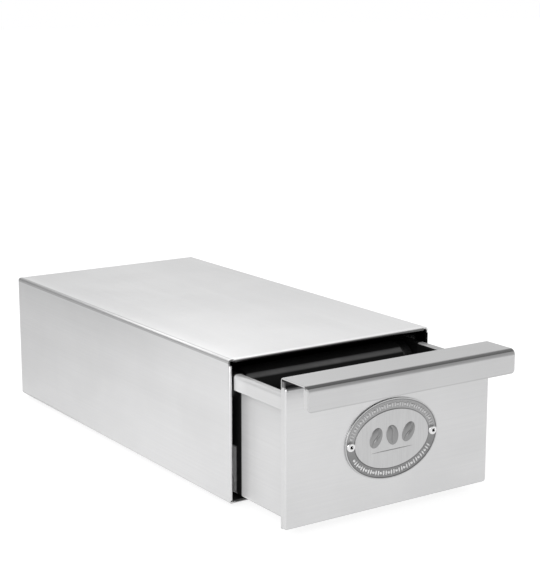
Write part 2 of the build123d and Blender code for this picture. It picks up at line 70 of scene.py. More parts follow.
# Camera
VIEW_TURN = math.radians(-34.026)
VIEW_HEIGHT = math.radians(11.971)
VIEW_DISTANCE = 952.15 * MM
VIEW_TARGET = Vector((-51.247 * MM, shell_low.y, 142.186 * MM))
LENS = 91.89
SENSOR = 36.0

# Scratch sizes along x, y and z
ALONG_Y = (0.2 * MM, 28 * MM, 0.2 * MM)
ALONG_X = (28 * MM, 0.2 * MM, 0.2 * MM)
ON_BADGE = (0.22 * MM, 0.22 * MM, 14 * MM)
TURNED = (0.25 * MM, 0.25 * MM, 0.25 * MM)

# Brushed and turned steel
SCRATCH_DARKER = 0.035
SCRATCH_LIGHTER = 0.02
SCRATCH_DEPTH = 0.018 * MM
TURNED_DEPTH = 0.006 * MM
STREAK_DEPTH_SHARE = 0.35
WIPE_DARKER = 0.05
WIPE_SHARE = 0.35
ROUGHNESS_SPREAD = 0.05
SHEET_WAVE = 0.5 * MM
# Painted shade: the tones of deep insides and of the badge screws' sockets
PAINTED_SHADE_TONE = 0.005
DARK_ROUGHNESS = 0.55
SOCKET_TONE = 0.01

# Badge metal
FIELD_TONES = (0.52, 0.64)
FIELD_ROUGHNESS = 0.3
BAND_TONES = (0.34, 0.54)
BAND_ROUGHNESS = 0.5
BAND_GRAIN = 0.25 * MM
BAND_LOW_FACTOR = 0.68  # painted shade: the band is darker in its lower half
BAND_FADE = 8 * MM
BAND_EDGE_FACTOR = 0.6  # and painted shade along both its edges
BAND_EDGE = 0.6 * MM
BADGE_GRAIN_DEPTH = 0.02 * MM

# Rubber of the knock bar
SLEEVE_TONE = 0.006
SLEEVE_ROUGHNESS = 0.75
SLEEVE_PEBBLE = 0.5 * MM
SLEEVE_PEBBLE_DEPTH = 0.1 * MM
# Painted highlight along the rubber's top front, which is smoother there too
HIGHLIGHT_TONE = 0.18
HIGHLIGHT_ROUGHNESS = 0.45
HIGHLIGHT_TURN = math.radians(43)  # how far in front of the bar's top the painted highlight's line lies
HIGHLIGHT_REACH = math.radians(11)  # how far the painted highlight reaches to each side of that line
HIGHLIGHT_PATCH_SHARE = 0.8  # painted highlight left between its patches
HIGHLIGHT_END_SHARE = 0.8  # painted highlight left at the bar's left end
HIGHLIGHT_FADE = 70 * MM

# Badge ornament, with arcs and turns in degrees
BEAD_ARCS = [(168, 12), (205, 335)]
BEAD_SPACING = 2.1 * MM
BEAD_RADIUS = 1.0 * MM
REEL_HALF_LENGTH = 1.7 * MM
REEL_HALF_WIDTH = 0.58 * MM
BEAD_RISE = 0.36 * MM
BEAN_TURNS = [24, -14, 28]
BEAN_SPACING = 13.2 * MM
BEAN_HALF_LENGTH = 6.8 * MM
BEAN_HALF_WIDTH = 4.7 * MM
BEAN_RISE = 1.0 * MM
BEAN_LIFT = 2.4 * MM
BEAN_CREASE = 0.85
CREASE_SWAY = 0.2
CREASE_WIDTH = 0.13
LINE_DROP = 9.8 * MM
LINE_HALF_LENGTH = 17 * MM
LINE_HALF_WIDTH = 0.25 * MM
LINE_RISE = 0.2 * MM

# Floor
FLOOR_HALF_SIZE = 8.0
FLOOR_LIT = 0.3
FLOOR_GLOW = 0.7
FLOOR_SEEN = 1.15  # how much of the glow the camera sees
FLOOR_FALL_BACK = 0.42  # how much less the steel sees behind the origin
FLOOR_FALL_RIGHT = 0.12  # and to the right of it
FLOOR_FALL_REACH = 0.5

# Studio tones, by the height of the heading
STUDIO_TONES = [(0.0, 0.4), (0.14, 0.48), (0.3, 0.66), (0.5, 0.4), (1.0, 0.3)]

# Soft patches of studio light: direction, inner angle, outer angle, strength
STUDIO_PATCHES = [
    ((0.75, 0.6, 0.3), 5, 40, 0.21),
    ((0.2, 0.35, 1.0), 12, 60, 0.7),
    ((-1.0, -0.6, 0.9), 10, 50, 0.9),
]

# Softboxes: name, place, target, width, depth, watts
SOFTBOXES = [
    ("back_softbox", (-0.05, 0.52, 0.62), (-0.05, 0.0, 0.1), 0.9, 0.4, 1.15),
    ("left_softbox", (-1.1, -0.7, 0.7), (0.0, 0.0, 0.05), 0.9, 0.6, 3.25),
]

FLOAT = "NodeSocketFloat"
VECTOR = "NodeSocketVector"


def set_or_link(tree, socket, value):
    """Gives a socket a value, or a link where the value is another node's output."""
    if isinstance(value, bpy.types.NodeSocket):
        tree.links.new(value, socket)
    else:
        socket.default_value = value


def put(tree, kind, inputs=None, **properties):
    """Adds a shader node, sets its properties, and sets or links its inputs."""
    node = tree.nodes.new(kind)
    for name, value in properties.items():
        setattr(node, name, value)
    for name, value in (inputs or {}).items():
        set_or_link(tree, node.inputs[name], value)
    return node


def math_node(tree, operation, first, second=0.0, third=0.0, clamp=False):
    """A Math node's result."""
    inputs = {0: first, 1: second, 2: third}
    return put(tree, "ShaderNodeMath", inputs, operation=operation, use_clamp=clamp).outputs[0]


def vector_node(tree, operation, first, second=(0.0, 0.0, 0.0), output="Vector"):
    """A Vector Math node's result."""
    return put(tree, "ShaderNodeVectorMath", {0: first, 1: second}, operation=operation).outputs[output]


def scaled(tree, colour, share):
    """A colour times a share."""
    node = put(tree, "ShaderNodeVectorMath", {0: colour, "Scale": share}, operation="SCALE")
    return node.outputs["Vector"]


def split(tree, vector):
    """A vector's three parts."""
    return put(tree, "ShaderNodeSeparateXYZ", {0: vector}).outputs


def remap(tree, value, low, high, to_low, to_high, smooth=False):
    """A value carried from one range to another."""
    kind = "SMOOTHSTEP" if smooth else "LINEAR"
    inputs = {"Value": value, "From Min": low, "From Max": high, "To Min": to_low, "To Max": to_high}
    return put(tree, "ShaderNodeMapRange", inputs, interpolation_type=kind).outputs["Result"]


def noise(tree, place, detail, scale=1.0, roughness=0.5, distortion=0.0):
    """Cloudy values from 0 to 1."""
    inputs = {
        "Vector": place,
        "Scale": scale,
        "Detail": detail,
        "Roughness": roughness,
        "Distortion": distortion,
    }
    return put(tree, "ShaderNodeTexNoise", inputs).outputs["Fac"]


def bump(tree, height, distance, strength=1.0, normal=None):
    """A normal bent by a height."""
    inputs = {"Height": height, "Distance": distance, "Strength": strength}
    if normal is not None:
        inputs["Normal"] = normal
    return put(tree, "ShaderNodeBump", inputs).outputs[0]


def paint(tree, factor, first, second):
    """One colour over another by a factor."""
    node = put(tree, "ShaderNodeMix", data_type="RGBA")
    for index, value in ((0, factor), (6, first), (7, second)):
        set_or_link(tree, node.inputs[index], value)
    return node.outputs[2]


def grey(tone):
    """A neutral colour, a trace cooler than grey."""
    return (tone, tone, tone * 1.004, 1.0)


def cube(size):
    """The same size each way."""
    return (size, size, size)


def new_group(name, inputs, outputs):
    """A node group with its named sockets, and the sockets inside it."""
    group = bpy.data.node_groups.new(name, "ShaderNodeTree")
    for label, kind, value in inputs:
        socket = group.interface.new_socket(label, in_out="INPUT", socket_type=kind)
        socket.default_value = value
    for label in outputs:
        group.interface.new_socket(label, in_out="OUTPUT", socket_type=FLOAT)
    source = group.nodes.new("NodeGroupInput")
    result = group.nodes.new("NodeGroupOutput")
    return group, source.outputs, result.inputs


def make_brushed_lines():
    """Lines that an abrasive belt leaves: fine scratches, and broader streaks among them."""
    inputs = [
        ("Position", VECTOR, (0, 0, 0)),
        ("Scratch Size", VECTOR, ALONG_Y),
        ("Streak Widening", FLOAT, 7.0),
    ]
    group, given, result = new_group("brushed_lines", inputs, ["Scratches", "Streaks", "Height"])
    cell = vector_node(group, "DIVIDE", given["Position"], given["Scratch Size"])
    fine = noise(group, cell, 3.0, roughness=0.62)
    broad = noise(group, vector_node(group, "DIVIDE", cell, given["Streak Widening"]), 2.0)
    scratches = remap(group, fine, 0.25, 0.75, 0.0, 1.0)
    streaks = remap(group, broad, 0.3, 0.7, 0.0, 1.0)
    height = math_node(group, "MULTIPLY_ADD", streaks, STREAK_DEPTH_SHARE, scratches)
    group.links.new(scratches, result["Scratches"])
    group.links.new(streaks, result["Streaks"])
    group.links.new(height, result["Height"])
    return group


def make_handling_marks():
    """Faint cloudy wipes and finger marks, and the slow waves of a sheet that isn't quite flat."""
    inputs = [("Position", VECTOR, (0, 0, 0)), ("Size", FLOAT, 60 * MM)]
    group, given, result = new_group("handling_marks", inputs, ["Clouds", "Waves"])
    place = vector_node(group, "DIVIDE", given["Position"], given["Size"])
    cloud = noise(group, place, 4.0, roughness=0.55, distortion=0.6)
    group.links.new(remap(group, cloud, 0.35, 0.7, 0.0, 1.0, True), result["Clouds"])
    group.links.new(noise(group, place, 1.0, scale=0.7), result["Waves"])
    return group


def make_inside_box():
    """1 within a box of the given corners, fading over the given edge."""
    inputs = [
        ("Position", VECTOR, (0, 0, 0)),
        ("Low Corner", VECTOR, (-FAR, -FAR, -FAR)),
        ("High Corner", VECTOR, (FAR, FAR, FAR)),
        ("Edge", FLOAT, 0.2 * MM),
    ]
    group, given, result = new_group("inside_box", inputs, ["Inside"])
    above = vector_node(group, "SUBTRACT", given["Position"], given["Low Corner"])
    below = vector_node(group, "SUBTRACT", given["High Corner"], given["Position"])
    sides = split(group, vector_node(group, "MINIMUM", above, below))
    nearest = math_node(group, "MINIMUM", sides[0], math_node(group, "MINIMUM", sides[1], sides[2]))
    share = math_node(group, "DIVIDE", nearest, given["Edge"])
    group.links.new(math_node(group, "ADD", share, 0.5, clamp=True), result["Inside"])
    return group


def make_inside_oval():
    """1 within an upright oval seen from the front."""
    inputs = [
        ("Position", VECTOR, (0, 0, 0)),
        ("Centre", VECTOR, (0, 0, 0)),
        ("Half Width", FLOAT, 30 * MM),
        ("Half Height", FLOAT, 20 * MM),
    ]
    group, given, result = new_group("inside_oval", inputs, ["Inside"])
    sides = split(group, vector_node(group, "SUBTRACT", given["Position"], given["Centre"]))
    across = math_node(group, "POWER", math_node(group, "DIVIDE", sides[0], given["Half Width"]), 2.0)
    upright = math_node(group, "POWER", math_node(group, "DIVIDE", sides[2], given["Half Height"]), 2.0)
    reach = math_node(group, "ADD", across, upright)
    group.links.new(remap(group, reach, 1.01, 0.99, 0.0, 1.0), result["Inside"])
    return group


brushed_lines = make_brushed_lines()
handling_marks = make_handling_marks()
inside_box = make_inside_box()
inside_oval = make_inside_oval()


def group_node(tree, group, **inputs):
    """A group placed in a material, with its inputs set or linked."""
    named = {label.replace("_", " "): value for label, value in inputs.items()}
    return put(tree, "ShaderNodeGroup", named, node_tree=group).outputs


def new_material(name, **settings):
    """A material, its tree, its Principled shader and its object coordinates."""
    material = bpy.data.materials.new(name)
    material.use_nodes = True
    tree = material.node_tree
    shader = tree.nodes["Principled BSDF"]
    for label, value in settings.items():
        shader.inputs[label.replace("_", " ")].default_value = value
    place = put(tree, "ShaderNodeTexCoord").outputs["Object"]
    return material, tree, shader, place


def surface(tree, shader, colour, roughness, normal):
    """Links a surface's colour, roughness and normal to its shader."""
    tree.links.new(colour, shader.inputs["Base Color"])
    tree.links.new(roughness, shader.inputs["Roughness"])
    tree.links.new(normal, shader.inputs["Normal"])


def shaded(tree, colour, place, shades):
    """A colour with painted shade or light within boxes."""
    for low, high, edge, factor in shades:
        corners = {"Low_Corner": low, "High_Corner": high}
        inside = group_node(tree, inside_box, Position=place, Edge=edge, **corners)["Inside"]
        colour = scaled(tree, colour, remap(tree, inside, 0.0, 1.0, 1.0, factor))
    return colour


def brushed_steel(
    name,
    scratch_size,
    tone,
    roughness,
    painted_shade_boxes=(),
    painted_shade_tone=PAINTED_SHADE_TONE,
    depth=SCRATCH_DEPTH,
    shades=(),
    cabinet_shades=(),
    metal=1.0,
):
    """Brushed stainless sheet. The faces within the painted shade boxes get painted shade, as a deep
    drawer's insides lie in shade.

    The painted shades and lights lie on the piece itself. The cabinet's painted shades and lights stay with
    the cabinet as the piece moves.
    """
    material, tree, shader, place = new_material(name, Metallic=metal)
    lines = group_node(tree, brushed_lines, Position=place, Scratch_Size=scratch_size)
    marks = group_node(tree, handling_marks, Position=place)
    half_streaks = math_node(tree, "MULTIPLY", lines["Streaks"], 0.5)
    brushing = math_node(tree, "MULTIPLY_ADD", lines["Scratches"], 0.5, half_streaks)
    colour = paint(tree, brushing, grey(tone - SCRATCH_DARKER), grey(tone + SCRATCH_LIGHTER))
    wiped = math_node(tree, "MULTIPLY", marks["Clouds"], WIPE_SHARE)
    colour = paint(tree, wiped, colour, grey(tone - WIPE_DARKER))
    rough = math_node(tree, "MULTIPLY_ADD", lines["Streaks"], ROUGHNESS_SPREAD, roughness)
    rough = math_node(tree, "MULTIPLY_ADD", marks["Clouds"], ROUGHNESS_SPREAD, rough)
    # Painted shade within the boxes
    for low, high in painted_shade_boxes:
        dark = group_node(tree, inside_box, Position=place, Low_Corner=low, High_Corner=high)["Inside"]
        colour = paint(tree, dark, colour, grey(painted_shade_tone))
        rough = remap(tree, dark, 0.0, 1.0, rough, DARK_ROUGHNESS)
    colour = shaded(tree, colour, place, shades)
    if cabinet_shades:
        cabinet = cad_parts["cabinet_shell"]
        in_cabinet = put(tree, "ShaderNodeTexCoord", object=cabinet).outputs["Object"]
        colour = shaded(tree, colour, in_cabinet, cabinet_shades)
    waves = bump(tree, marks["Waves"], SHEET_WAVE)
    surface(tree, shader, colour, rough, bump(tree, lines["Height"], depth, normal=waves))
    return material


def turned_metal(name, tone, roughness, sockets=(), shades=()):
    """Turned or cold-headed metal, such as screws, studs and collars. Its sockets get painted shade."""
    return brushed_steel(
        name,
        TURNED,
        tone,
        roughness,
        painted_shade_boxes=sockets,
        painted_shade_tone=SOCKET_TONE,
        depth=TURNED_DEPTH,
        shades=shades,
    )


def black_rubber(name, tone, roughness, grain):
    """Moulded black rubber with a fine pebble."""
    material, tree, shader, place = new_material(name)
    pebble = noise(tree, vector_node(tree, "DIVIDE", place, cube(grain)), 3.0)
    marks = group_node(tree, handling_marks, Position=place, Size=20 * MM)
    colour = paint(tree, marks["Clouds"], grey(tone), grey(tone * 1.8))
    rough = math_node(tree, "MULTIPLY_ADD", marks["Clouds"], 0.12, roughness)
    surface(tree, shader, colour, rough, bump(tree, pebble, grain / 4, strength=0.6))
    return material


def knock_rubber(name):
    """The sleeve's rubber, with a painted highlight along its top front, where it is also smoother."""
    material, tree, shader, place = new_material(name, Specular_IOR_Level=0.2)
    pebble = noise(tree, vector_node(tree, "DIVIDE", place, cube(SLEEVE_PEBBLE)), 3.0)
    marks = group_node(tree, handling_marks, Position=place, Size=20 * MM)
    # A painted highlight along the bar's top front, in patches, fading towards its left end
    offset = vector_node(tree, "SUBTRACT", place, sleeve_centre)
    across_bar = vector_node(tree, "MULTIPLY", offset, (0.0, 1.0, 1.0))
    outward = vector_node(tree, "NORMALIZE", across_bar)
    highlight_side = (0.0, -math.sin(HIGHLIGHT_TURN), math.cos(HIGHLIGHT_TURN))
    facing = vector_node(tree, "DOT_PRODUCT", outward, highlight_side, "Value")
    on_highlight = remap(tree, facing, math.cos(HIGHLIGHT_REACH), 1.0, 0.0, 1.0, True)
    along = split(tree, place)[0]
    fade = remap(tree, along, sleeve_low.x, sleeve_low.x + HIGHLIGHT_FADE, HIGHLIGHT_END_SHARE, 1.0, True)
    patches = remap(tree, marks["Clouds"], 0.0, 1.0, HIGHLIGHT_PATCH_SHARE, 1.0)
    highlight = math_node(tree, "MULTIPLY", math_node(tree, "MULTIPLY", on_highlight, patches), fade)
    colour = paint(tree, highlight, grey(SLEEVE_TONE), grey(HIGHLIGHT_TONE))
    rough = remap(tree, on_highlight, 0.0, 1.0, SLEEVE_ROUGHNESS, HIGHLIGHT_ROUGHNESS)
    surface(tree, shader, colour, rough, bump(tree, pebble, SLEEVE_PEBBLE_DEPTH, strength=0.5))
    return material


def badge_oval(tree, place, inset):
    """1 within the badge's outline drawn in by an inset."""
    sizes = {"Half_Width": badge_half.x - inset, "Half_Height": badge_half.z - inset}
    return group_node(tree, inside_oval, Position=place, Centre=badge_centre, **sizes)["Inside"]


def badge_ring(tree, place, inset, width):
    """1 within a ring of the given width, its outside drawn in by an inset."""
    outer = badge_oval(tree, place, inset)
    inner = badge_oval(tree, place, inset + width)
    return math_node(tree, "SUBTRACT", outer, inner, clamp=True)


def badge_metal(name):
    """Oval badge: upright brushing on the raised middle, a darker blasted band around it."""
    material, tree, shader, place = new_material(name, Metallic=1.0)
    lines = group_node(tree, brushed_lines, Position=place, Scratch_Size=ON_BADGE)
    speck = noise(tree, vector_node(tree, "DIVIDE", place, cube(BAND_GRAIN)), 2.0)
    field = paint(tree, lines["Scratches"], *map(grey, FIELD_TONES))
    blasted = paint(tree, speck, *map(grey, BAND_TONES))
    # Painted shade: the band darker in its lower half and along both its edges
    fade_start = badge_centre.z - BAND_FADE
    fade_end = badge_centre.z + BAND_FADE
    height = split(tree, place)[2]
    upward = remap(tree, height, fade_start, fade_end, BAND_LOW_FACTOR, 1.0, True)
    blasted = scaled(tree, blasted, upward)
    for inset in (BADGE_RIM, BADGE_RIM + BADGE_BAND - BAND_EDGE):
        beside_edge = badge_ring(tree, place, inset, BAND_EDGE)
        blasted = scaled(tree, blasted, remap(tree, beside_edge, 0.0, 1.0, 1.0, BAND_EDGE_FACTOR))
    on_band = badge_ring(tree, place, BADGE_RIM, BADGE_BAND)
    colour = paint(tree, on_band, field, blasted)
    rough = remap(tree, on_band, 0.0, 1.0, FIELD_ROUGHNESS, BAND_ROUGHNESS)
    grain = remap(tree, on_band, 0.0, 1.0, lines["Height"], speck)
    surface(tree, shader, colour, rough, bump(tree, grain, BADGE_GRAIN_DEPTH))
    return material


def liner_plastic(name, tone, roughness):
    """Slippery plastic of the rail linings, dark in the shade that they lie in."""
    material, tree, shader, place = new_material(name)
    marks = group_node(tree, handling_marks, Position=place, Size=12 * MM)
    colour = paint(tree, marks["Clouds"], grey(tone), grey(tone * 0.8))
    rough = math_node(tree, "MULTIPLY_ADD", marks["Clouds"], 0.15, roughness)
    surface(tree, shader, colour, rough, bump(tree, marks["Waves"], 0.2 * MM, strength=0.3))
    return material


def box(x=(-FAR, FAR), y=(-FAR, FAR), z=(-FAR, FAR)):
    """A box's low and high corners. It is open towards each side that isn't given."""
    return Vector((x[0], y[0], z[0])), Vector((x[1], y[1], z[1]))


def shade(factor, edge, **sides):
    """A box of painted shade or light, in which steel is darker or lighter by a factor, fading over an edge.
    """
    low, high = box(**sides)
    return low, high, edge, factor


# Painted shade on insides that stay dark
half_sheet = SHELL_SHEET / 2
shell_inner_z = (shell_low.z + half_sheet, shell_high.z - 2 * SHELL_SHEET)
shell_inside = box(
    x=(shell_low.x + 4 * SHELL_SHEET, shell_high.x - half_sheet),
    y=(shell_low.y - 1 * MM, shell_high.y + 1 * MM),
    z=shell_inner_z,
)
shell_left_inside = box(
    x=(shell_low.x + half_sheet, shell_high.x - half_sheet),
    y=(shell_low.y + LIT_DEPTH, shell_high.y + 1 * MM),
    z=shell_inner_z,
)
tub_inner_half = TUB_HALF_WIDTH - TUB_SHEET / 2
tub_inside = box(
    x=(-tub_inner_half, tub_inner_half),
    y=(tub_low.y + TUB_SHEET / 2, tub_high.y - TUB_SHEET / 2),
    z=(tub_low.z + TUB_SHEET / 2, tub_high.z - 0.3 * MM),
)

# Painted shade in the sockets of the badge's screws
screw_reach = badge_half.x - BADGE_RIM - BADGE_BAND / 2
socket_half = 1.0 * MM
badge_sockets = [
    box(
        x=(side * screw_reach - socket_half, side * screw_reach + socket_half),
        y=(badge_screws_front - 1 * MM, badge_screws_front + 1.4 * MM),
        z=(badge_centre.z - socket_half, badge_centre.z + socket_half),
    )
    for side in (-1, 1)
]

# Painted shade and light on the cabinet's shell
left_side = (-FAR, shell_low.x + half_sheet)
under_bends = shade(0.7, 0.5 * MM, z=(shell_high.z - 2.7 * MM, shell_high.z - 1.7 * MM))
shell_bottom = shade(0.66, 0.5 * MM, z=(-FAR, shell_low.z + 0.9 * MM))
roof_nose = shade(1.13, 1.0 * MM, y=(-FAR, shell_low.y + 4 * MM), z=(shell_high.z - 0.5 * MM, FAR))
roof_hem = shade(
    0.22,
    0.8 * MM,
    x=(shell_low.x + 3 * MM, shell_high.x - 3 * MM),
    y=(-FAR, shell_low.y + 0.8 * MM),
    z=(shell_high.z - 6 * MM, shell_high.z - 0.5 * MM),
)
roof_left_line = shade(
    0.7,
    0.4 * MM,
    x=(shell_low.x + 1.5 * MM, shell_low.x + 3.0 * MM),
    z=(shell_high.z - half_sheet, FAR),
)
left_bend = shade(0.76, 0.4 * MM, x=(-FAR, shell_low.x + 1.3 * MM), z=(shell_high.z - 1.5 * MM, FAR))
left_upper = shade(1.15, 30 * MM, x=left_side, z=(shell_high.z - 30 * MM, FAR))
left_back_low = shade(0.93, 50 * MM, x=left_side, y=(shell_high.y - 120 * MM, FAR), z=(-FAR, 30 * MM))
roof_back = [
    shade(0.95, 50 * MM, y=(shell_low.y + setback, FAR), z=(shell_high.z - 25 * MM, FAR))
    for setback in (50 * MM, 100 * MM, 150 * MM)
]
shell_shades = [
    under_bends,
    shell_bottom,
    roof_nose,
    roof_hem,
    roof_left_line,
    left_bend,
    left_upper,
    left_back_low,
    *roof_back,
]

# Painted shade on the front panel with its handle
handle_front = (-FAR, panel_low.y + 4 * MM)
handle_under = panel_high.z - PANEL_SHEET
lip_bottom = panel_high.z - HANDLE_LIP
handle_top = shade(0.72, 0.5 * MM, z=(panel_high.z - 0.4 * MM, FAR))
lip_front = shade(0.9, 0.5 * MM, y=(-FAR, panel_low.y + 1.5 * MM))
lip_edge = shade(0.87, 0.4 * MM, y=handle_front, z=(lip_bottom - 1 * MM, lip_bottom + 0.8 * MM))
fold_dark = shade(0.2, 0.3 * MM, y=handle_front, z=(panel_high.z - 1.15 * MM, panel_high.z - 0.05 * MM))
fold_grey = shade(0.86, 0.5 * MM, y=handle_front, z=(panel_high.z - 2.9 * MM, panel_high.z - 1.15 * MM))
above_cover = shade(
    0.12,
    0.2 * MM,
    y=(cover_high.y - 0.5 * MM, cover_high.y + 0.5 * MM),
    z=(handle_under - 6 * MM, handle_under + 0.1 * MM),
)
under_handle = shade(
    0.3,
    0.2 * MM,
    y=(panel_low.y + PANEL_SHEET / 2, cover_high.y),
    z=(handle_under - 0.3 * MM, handle_under + 0.1 * MM),
)
panel_back_edge = shade(0.35, 0.3 * MM, y=(panel_high.y - 0.7 * MM, FAR), z=(-FAR, tub_low.z))
panel_shades = [
    handle_top,
    lip_front,
    lip_edge,
    fold_dark,
    fold_grey,
    above_cover,
    under_handle,
    panel_back_edge,
]

# Painted shade on the cover
cover_top = shade(0.3, 0.8 * MM, z=(handle_under - 5 * MM, FAR))
cover_right = shade(0.94, 60 * MM, x=(30 * MM, FAR))
cover_bottom = shade(0.78, 0.5 * MM, z=(-FAR, cover_low.z + 0.8 * MM))

# Painted shade on the drawer's tub
rim_bottom = tub_high.z - RIM_LIP
rim_top = shade(0.84, 0.4 * MM, z=(tub_high.z - 0.3 * MM, FAR))
rim_right = shade(0.7, 1.0 * MM, x=(60 * MM, FAR), z=(tub_high.z - 1 * MM, FAR))
rim_bend = shade(0.88, 1.0 * MM, z=(tub_high.z - 2.4 * MM, FAR))
under_rim = shade(
    0.62,
    0.6 * MM,
    x=(-TUB_HALF_WIDTH - 0.1 * MM, TUB_HALF_WIDTH + 0.1 * MM),
    z=(rim_bottom - 3 * MM, rim_bottom + 0.2 * MM),
)
tub_bottom = shade(0.72, 0.5 * MM, z=(-FAR, tub_low.z + 0.9 * MM))

# Painted shade and light on the tub that stay with the cabinet, the last a strip of painted light in the
# dark
beside_cabinet = shade(1.25, 14 * MM, y=(shell_low.y - 8 * MM, FAR))
within_cabinet = shade(0.02, 1.0 * MM, y=(shell_low.y, FAR))
low_in_gap = shade(65.0, 1.8 * MM, y=(shell_low.y + 6.5 * MM, shell_low.y + 14 * MM), z=(6 * MM, 39 * MM))

# Painted shade on the upper half of the badge's beading
upper_beading = shade(0.82, 4 * MM, z=(badge_centre.z, FAR))

FINISHES = {
    "shell": brushed_steel(
        "steel_shell",
        ALONG_Y,
        tone=0.765,
        roughness=0.30,
        painted_shade_boxes=[shell_inside, shell_left_inside],
        shades=shell_shades,
    ),
    "back": brushed_steel("steel_back", ALONG_X, tone=0.72, roughness=0.30),
    "panel": brushed_steel("steel_handle", ALONG_X, tone=0.725, roughness=0.30, shades=panel_shades),
    "cover": brushed_steel(
        "steel_cover",
        ALONG_X,
        tone=0.735,
        roughness=0.30,
        shades=[cover_top, cover_right, cover_bottom],
    ),
    "tub": brushed_steel(
        "steel_tub",
        ALONG_Y,
        tone=0.69,
        roughness=0.32,
        painted_shade_boxes=[tub_inside],
        shades=[rim_top, rim_right, rim_bend, under_rim, tub_bottom],
        cabinet_shades=[beside_cabinet, within_cabinet, low_in_gap],
        metal=0.35,
    ),
    # Painted shade: the base plate, rails, knock rod and collars are toned dark for the shade inside the
    # cabinet
    "base": brushed_steel("steel_base", ALONG_Y, tone=0.08, roughness=0.5),
    "rails": brushed_steel("steel_rail", ALONG_Y, tone=0.10, roughness=0.45),
    "bar": turned_metal("steel_bar", tone=0.055, roughness=0.5),
    "screws": turned_metal("steel_screws", tone=0.85, roughness=0.18, sockets=badge_sockets),
    "rivets": turned_metal("rivet_metal", tone=0.6, roughness=0.4),
    "badge": badge_metal("badge_metal"),
    "beading": turned_metal("badge_beading", tone=0.78, roughness=0.4, shades=[upper_beading]),
    "beans": turned_metal("badge_relief", tone=0.34, roughness=0.28),
    "linings": liner_plastic("liner_plastic", tone=0.06, roughness=0.5),
    "sleeve": knock_rubber("rubber_sleeve"),
    "rubber": black_rubber("rubber_feet", tone=0.016, roughness=0.6, grain=0.4 * MM),
}

NODES_OF_FINISH = {
    "shell": ["cabinet_shell"],
    "back": ["back_panel"],
    "panel": ["front_panel"],
    "cover": ["front_cover"],
    "tub": ["drawer_tub"],
    "base": ["base_plate"],
    "rails": ["rail_left", "rail_right", "stop_bracket", "stop_lug"],
    "bar": ["knock_rod", "collar_left", "collar_right"],
    "screws": ["back_screws", "panel_studs", "panel_nuts", "bar_bolts", "badge_screws", "badge_nuts"],
    "rivets": ["base_rivets", "lug_rivets"],
    "badge": ["badge_plate"],
    "linings": ["rail_liner_left", "rail_liner_right"],
    "sleeve": ["knock_sleeve"],
    "rubber": [
        "foot_front_left",
        "foot_front_right",
        "foot_back_left",
        "foot_back_right",
        "bumper_left",
        "bumper_right",
        "stop_buffer",
    ],
}

for finish, nodes in NODES_OF_FINISH.items():
    for node in nodes:
        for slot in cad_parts[node].material_slots:
            slot.material = FINISHES[finish]


def round_edges(name, width):
    """Rounds a sheet's cut edges a little, as deburring does."""
    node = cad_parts[name]
    weld = node.modifiers.new("weld", "WELD")
    weld.merge_threshold = 0.002 * MM
    flat = node.modifiers.new("flat", "DECIMATE")
    flat.decimate_type = "DISSOLVE"
    flat.angle_limit = math.radians(0.5)
    deburr = node.modifiers.new("deburr", "BEVEL")
    deburr.width = width
    deburr.segments = 2
    deburr.limit_method = "ANGLE"
    deburr.angle_limit = math.radians(50)
    deburr.harden_normals = True


for sheet in ("cabinet_shell", "front_panel", "drawer_tub"):
    round_edges(sheet, 0.2 * MM)
round_edges("badge_plate", 0.1 * MM)


class Relief:
    """Raised forms on the badge's front, gathered into one mesh."""

    def __init__(self, base):
        self.base = base
        self.points = []
        self.faces = []

    def dome(self, across, up, half_length, half_width, turn, rise, rings=4, steps=14, crease=0.0):
        """An oval dome centred at (across, up). Its length is turned from upright, and it may be creased."""
        start = len(self.points)
        for ring in range(rings + 1):
            reach = math.sin(math.pi / 2 * ring / rings)
            for step in range(steps if ring else 1):
                angle = 2 * math.pi * step / steps
                along = reach * math.cos(angle)
                aside = reach * math.sin(angle)
                height = rise * math.sqrt(max(0.0, 1 - reach * reach))
                from_crease = aside - CREASE_SWAY * math.sin(math.pi * along)
                height *= 1 - crease * math.exp(-((from_crease / CREASE_WIDTH) ** 2))
                x = along * half_length * math.sin(turn) + aside * half_width * math.cos(turn)
                z = along * half_length * math.cos(turn) - aside * half_width * math.sin(turn)
                self.points.append((across + x, self.base - height, up + z))
        for step in range(steps):
            following = (step + 1) % steps
            self.faces.append((start, start + 1 + following, start + 1 + step))
            for ring in range(rings - 1):
                inner = start + 1 + ring * steps
                outer = inner + steps
                self.faces.append((inner + step, inner + following, outer + following, outer + step))

    def finish(self, name, finish):
        """The gathered mesh as a piece that rides on the drawer."""
        mesh = bpy.data.meshes.new(name)
        mesh.from_pydata(self.points, [], self.faces)
        mesh.validate()
        mesh.shade_smooth()
        mesh.materials.append(FINISHES[finish])
        piece = bpy.data.objects.new(name, mesh)
        bpy.context.scene.collection.objects.link(piece)
        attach(piece, "drawer")


def oval_places(half_width, half_height, start, end, spacing):
    """Evenly spaced places along an oval's arc, as (across, up, turn), between two angles in degrees."""
    fine = 720
    angles = [math.radians(start + (end - start) * i / fine) for i in range(fine + 1)]
    points = [(half_width * math.cos(a), half_height * math.sin(a)) for a in angles]
    lengths = [0.0]
    for first, second in zip(points, points[1:]):
        lengths.append(lengths[-1] + math.dist(first, second))
    count = round(lengths[-1] / spacing)
    places = []
    for i in range(count + 1):
        target = lengths[-1] * i / count
        index = min(range(len(lengths)), key=lambda k: abs(lengths[k] - target))
        across, up = points[index]
        turn = math.atan2(across / half_width ** 2, up / half_height ** 2)
        places.append((across, up, turn))
    return places


